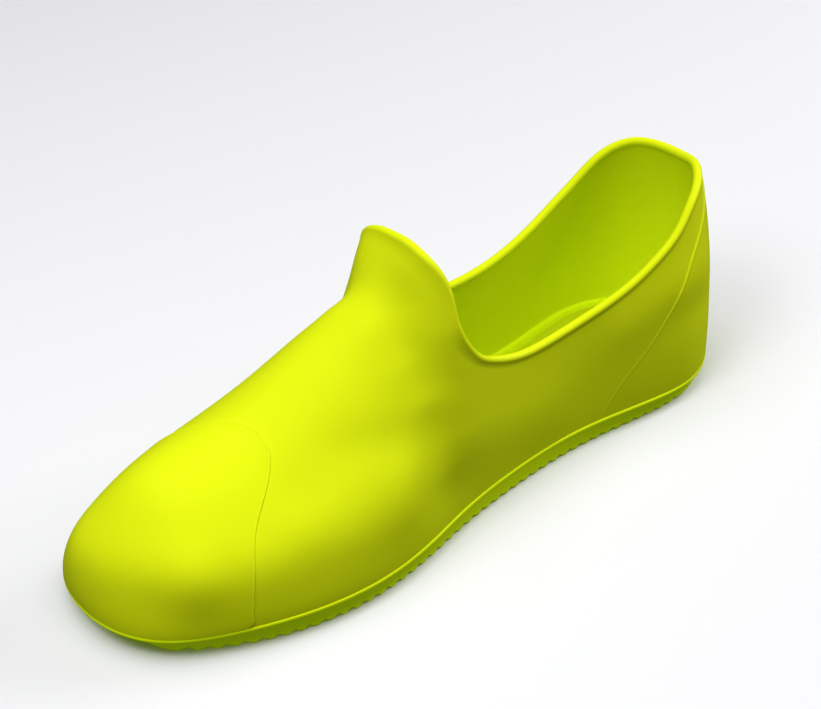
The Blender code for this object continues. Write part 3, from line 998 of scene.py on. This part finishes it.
@dataclass
class Outsole:
    """Tray with an upstanding edge, a round bead below the feather line and ribs across the tread.

    edge_profile is the offset and height of each line on the tray's edge, and neck those of the line
    under the bead. The ribs lie between rib_first and rib_last, with blunt tips. The shares place the
    lines across each face.
    """

    last: Last
    floor: float = 5.0
    floor_inset: float = 4.6
    edge_profile: Table = ((-4.1, -0.25), (-3.8, 0.0), (-0.4, 0.0))
    seat_gap: float = 0.3
    bead_height: float = 1.7
    bead_out: float = 0.5
    bead_turn: float = 80.0
    bead_steps: int = 11
    neck: tuple[float, float] = (0.02, 0.12)
    rib_count: int = 43
    rib_first: float = -104.0
    rib_last: float = 133.0
    rib_depth: float = 2.0
    rib_top: float = 2.2
    tooth_flat: float = 0.08
    toe_rise: float = 3.6
    toe_power: float = 1.6
    steps_per_rib: int = 10
    end_steps: int = 30
    floor_shares: tuple[float, ...] = (1.0, 0.6, 0.25, 0.0)
    side_shares: tuple[float, ...] = (0.3, 0.6, 0.85)
    tooth_shares: tuple[float, ...] = (0.35, 0.85)
    tread_shares: tuple[float, ...] = (0.012, 0.06, 0.4, 0.75, 1.0)

    def __post_init__(self) -> None:
        """Find the stations along the sole."""
        self.inset = Spline(*np.array(TREAD_INSET).T)
        self.places = self.stations()
        turns = np.linspace(0.0, 1.0, TREAD_STEPS)
        self.turns: dict[Side, np.ndarray] = {}
        for side in Side:
            self.turns[side] = np.interp(self.places, self.tread_line(turns, side)[:, 0], turns)

    def tread_line(self, turn: np.ndarray, side: Side) -> np.ndarray:
        """Edge of the tread in plan."""
        return self.last.outline(turn, side, -self.inset(station_of(turn)))

    def stations(self) -> np.ndarray:
        """Places along X: round the heel, several on each rib, round the toe."""
        back = float(self.tread_line(np.array(0.0), Side.OUTER)[0])
        front = float(self.tread_line(np.array(1.0), Side.OUTER)[0])
        rise = np.linspace(0.0, 1.0, self.end_steps, endpoint=False)
        heel = back + (self.rib_first - back) * rise ** 2
        count = self.rib_count * self.steps_per_rib
        ribs = np.linspace(self.rib_first, self.rib_last, count, endpoint=False)
        fall = 1.0 - np.linspace(0.0, 1.0, self.end_steps + 1)
        toe = front - (front - self.rib_last) * fall ** 2
        return np.concatenate([heel, ribs, toe])

    def toe_lift(self, x: np.ndarray) -> np.ndarray:
        """Rise of the tread in front of the ribs."""
        share = np.clip((x - self.rib_last) / (self.places[-1] - self.rib_last), 0.0, 1.0)
        return self.toe_rise * share ** self.toe_power

    def tread_height(self) -> np.ndarray:
        """Height of the underside: blunt ridges on the floor, valleys between, a rise at the toe."""
        share = (self.places - self.rib_first) / (self.rib_last - self.rib_first)
        phase = np.mod(self.rib_count * np.clip(share, 0.0, 1.0), 1.0)
        wave = 1.0 - np.abs(2.0 * phase - 1.0)
        blunt = np.clip((1.0 + 2.0 * self.tooth_flat) * wave - self.tooth_flat, 0.0, 1.0)
        return self.rib_depth * blunt + self.toe_lift(self.places)

    def ring(self, offset: float, height: np.ndarray | float, base: float = 0.0) -> np.ndarray:
        """Closed line round the sole at an offset from the feather line.

        Args:
            offset: Distance outward from the feather line.
            height: Height above the floor, or above the seat of the upper where base is 1.
            base: 1 to measure from the seat of the upper, 0 from the floor.

        Returns:
            Points along the outer side to the toe, then back along the inner side.
        """
        lines = []
        for side in Side:
            turn = self.turns[side]
            plan = self.last.outline(turn, side, np.full(turn.shape, offset))
            seat = self.last.feather(station_of(turn)) - self.seat_gap
            lines.append(np.column_stack([plan, base * seat + height]))
        return np.concatenate([lines[0], lines[1][-2::-1]])

    def tread_ring(self, inward: float) -> np.ndarray:
        """Closed line on the tread.

        Args:
            inward: 0 at the edge of the tread and 1 on its centre line.

        Returns:
            Points along the outer side to the toe, then back along the inner side.
        """
        height = self.tread_height()
        plans = {side: self.tread_line(self.turns[side], side)[:, 1] for side in Side}
        centre = 0.5 * (plans[Side.OUTER] + plans[Side.INNER])
        lines = []
        for side in Side:
            y = plans[side] + (centre - plans[side]) * inward
            lines.append(np.column_stack([self.places, y, height]))
        return np.concatenate([lines[0], lines[1][-2::-1]])

    def floor_ring(self, inward: float) -> np.ndarray:
        """Closed line on the floor of the tray, 0 at its edge and 1 on its centre line."""
        edge = self.ring(-self.floor_inset, self.floor)
        centre = 0.5 * (edge + edge[::-1])
        return edge + (centre - edge) * inward

    def build(self) -> bpy.types.Object:
        """Build the sole from mid tray over edge and bead to mid tread, and return the new object."""
        rows = [self.floor_ring(share) for share in self.floor_shares]
        rows += [self.ring(offset, height, 1.0) for offset, height in self.edge_profile]
        middle = -0.5 * self.bead_height
        for degrees in np.linspace(self.bead_turn, -self.bead_turn, self.bead_steps):
            angle = math.radians(degrees)
            out = self.bead_out * math.cos(angle)
            rows.append(self.ring(out, middle - middle * math.sin(angle), 1.0))
        neck_out, neck_depth = self.neck
        start = self.ring(neck_out, -self.bead_height - neck_depth, 1.0)
        end = self.tread_ring(0.0)
        flat = end.copy()
        flat[:, 2] = self.rib_top + self.toe_lift(flat[:, 0])
        rows.append(start)
        rows += [start + (flat - start) * share for share in self.side_shares]
        rows += [flat + (end - flat) * share for share in self.tooth_shares]
        rows += [self.tread_ring(share) for share in self.tread_shares]
        return wrap_grid("ribbed_sole", self.last.to_frame(np.stack(rows)), SOLE_CRISP)

    def make(self) -> None:
        """Build the sole and dress it."""
        dress(self.build(), SOLE_RUBBER, "outsole")


@dataclass
class Insole:
    """Footbed lying in the tray of the sole, its edge rounded and its top slightly cupped.

    cup is the share of the way to the centre line and the depth of each line on its top.
    """

    last: Last
    bottom: float = 5.3
    thick: float = 2.0
    inset: float = 5.3
    base_round: float = 0.3
    top_round: float = 0.6
    round_middle: tuple[float, float] = (0.2, 0.15)
    base_shares: tuple[float, ...] = (1.0, 0.5, 0.0)
    cup: Table = ((0.12, 0.05), (0.35, 0.2), (0.7, 0.35), (1.0, 0.4))
    steps: int = 140

    def ring(self, inward: float, edge_in: float, height: float) -> np.ndarray:
        """Closed line of the footbed.

        Args:
            inward: 0 at its edge and 1 on its centre line.
            edge_in: Distance in from the edge in plan.
            height: Height above the floor.

        Returns:
            Points along the outer side to the toe, then back along the inner side.
        """
        turns = np.linspace(0.0, 1.0, self.steps + 1)
        offset = np.full(len(turns), -self.inset - edge_in)
        lines = [self.last.outline(turns, side, offset) for side in Side]
        plan = np.concatenate([lines[0], lines[1][-2::-1]])
        centre = 0.5 * (plan + plan[::-1])
        plan = plan + (centre - plan) * inward
        return np.column_stack([plan, np.full(len(plan), height)])

    def build(self) -> bpy.types.Object:
        """Build the footbed and return the new object."""
        top = self.bottom + self.thick
        middle_in, middle_down = self.round_middle
        rows = [self.ring(share, self.base_round, self.bottom) for share in self.base_shares]
        rows.append(self.ring(0.0, 0.0, self.bottom + self.base_round))
        rows.append(self.ring(0.0, 0.0, top - self.top_round))
        rows.append(self.ring(0.0, middle_in, top - middle_down))
        rows.append(self.ring(0.0, self.top_round, top))
        rows += [self.ring(share, self.top_round, top - dip) for share, dip in self.cup]
        return wrap_grid("footbed", self.last.to_frame(np.stack(rows)), SOLE_CRISP)

    def make(self) -> None:
        """Build the footbed and dress it."""
        dress(self.build(), FOOTBED_RUBBER, "insole")


@dataclass(frozen=True)
class SoftBox:
    """A rectangular studio lamp that faces the shoe.

    place is where it hangs and size its two sides, in metres; power is in watts.
    """

    name: str
    place: tuple[float, float, float]
    size: tuple[float, float]
    power: float


@dataclass
class Studio:
    """Pale floor, soft lamps and the camera at the photograph's angle.

    Angles are in degrees and distance in metres from the point aim_mm of the last. focal_px and
    axis_px are the focal length and the optical axis in pixels of the picture.
    """

    azimuth: float = 140.15
    elevation: float = 35.72
    roll: float = -1.96
    distance: float = 0.74759
    focal_px: float = 1972.42
    axis_px: tuple[float, float] = (424.28, 381.71)
    aim_mm: tuple[float, float, float] = (0.0, 0.0, 40.0)
    sensor_mm: float = 36.0
    near_clip: float = 0.01
    sky: float = 0.03
    floor_size: float = 8.0
    floor_colour: str = "#E4E4E7"
    floor_roughness: float = 0.9
    floor_gloss: float = 0.1
    lamps: tuple[SoftBox, ...] = (
        SoftBox("top softbox", (0.17, 0.06, 1.60), (1.8, 1.6), 25.5),
        SoftBox("forefoot softbox", (0.54, 0.09, 0.80), (0.35, 0.35), 2.75),
        SoftBox("low outer strip", (0.15, 0.95, 0.12), (1.2, 0.15), 0.3),
        SoftBox("back softbox", (-1.30, 0.35, 0.75), (0.9, 0.9), 13.0),
    )

    def floor(self) -> None:
        """Lay a wide pale floor that throws no light on to the shoe."""
        bpy.ops.object.select_all(action="DESELECT")
        bpy.ops.mesh.primitive_plane_add(size=self.floor_size, location=(0.0, 0.0, 0.0))
        item = bpy.context.active_object
        item.name = "studio_floor"
        material = bpy.data.materials.new("matt white paper sweep")
        material.use_nodes = True
        shader = material.node_tree.nodes["Principled BSDF"]
        shader.inputs["Base Color"].default_value = linear(self.floor_colour)
        shader.inputs["Roughness"].default_value = self.floor_roughness
        shader.inputs["Specular IOR Level"].default_value = self.floor_gloss
        item.data.materials.append(material)
        item.visible_diffuse = False
        item.visible_glossy = False

    def light(self) -> None:
        """Hang the lamps and set an even weak sky."""
        scene = bpy.context.scene
        scene.view_settings.view_transform = "Standard"
        world = bpy.data.worlds.new("studio sky")
        world.use_nodes = True
        background = world.node_tree.nodes["Background"]
        background.inputs["Color"].default_value = linear("#FFFFFF")
        background.inputs["Strength"].default_value = self.sky
        scene.world = world
        for lamp in self.lamps:
            bpy.ops.object.select_all(action="DESELECT")
            bpy.ops.object.light_add(type="AREA", location=lamp.place)
            item = bpy.context.active_object
            item.name = lamp.name
            item.data.shape = "RECTANGLE"
            item.data.size, item.data.size_y = lamp.size
            item.data.energy = lamp.power
            item.rotation_euler = (-Vector(lamp.place)).to_track_quat("-Z", "Y").to_euler()

    def camera(self, last: Last) -> None:
        """Set the camera at the photograph's angle.

        Args:
            last: The last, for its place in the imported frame.
        """
        azimuth = math.radians(self.azimuth)
        elevation = math.radians(self.elevation)
        roll = math.radians(self.roll)
        back = Vector(
            (
                math.sin(azimuth) * math.cos(elevation),
                -math.cos(azimuth) * math.cos(elevation),
                math.sin(elevation),
            )
        )
        right = Vector((0.0, 0.0, 1.0)).cross(back).normalized()
        up = back.cross(right)
        tilted_right = right * math.cos(roll) + up * math.sin(roll)
        tilted_up = up * math.cos(roll) - right * math.sin(roll)
        place = Vector(last.to_frame(np.array(self.aim_mm)).tolist()) + back * self.distance
        turn = Matrix((tilted_right, tilted_up, back)).transposed().to_4x4()
        bpy.ops.object.select_all(action="DESELECT")
        bpy.ops.object.camera_add()
        item = bpy.context.active_object
        item.name = "photo camera"
        item.matrix_world = Matrix.Translation(place) @ turn
        width, height = IMAGE_SIZE
        item.data.sensor_fit = "HORIZONTAL"
        item.data.sensor_width = self.sensor_mm
        item.data.lens = self.focal_px * self.sensor_mm / width
        item.data.shift_x = (width / 2.0 - self.axis_px[0]) / width
        item.data.shift_y = (self.axis_px[1] - height / 2.0) / width
        item.data.clip_start = self.near_clip
        bpy.context.scene.camera = item

    def make(self, last: Last) -> None:
        """Build the whole studio round the shoe."""
        self.floor()
        self.light()
        self.camera(last)


def main() -> None:
    """Build and dress the pieces in the order in which they are put together."""
    logging.basicConfig(level=logging.INFO, format="%(name)s %(message)s")
    last = Last()
    skin = Skin(last, Opening(last))
    Outsole(last).make()
    Insole(last).make()
    Upper(skin).make()
    ToeCap(skin).make()
    HeelCounter(skin).make()
    Studio().make(last)


if __name__ == "__main__":
    main()
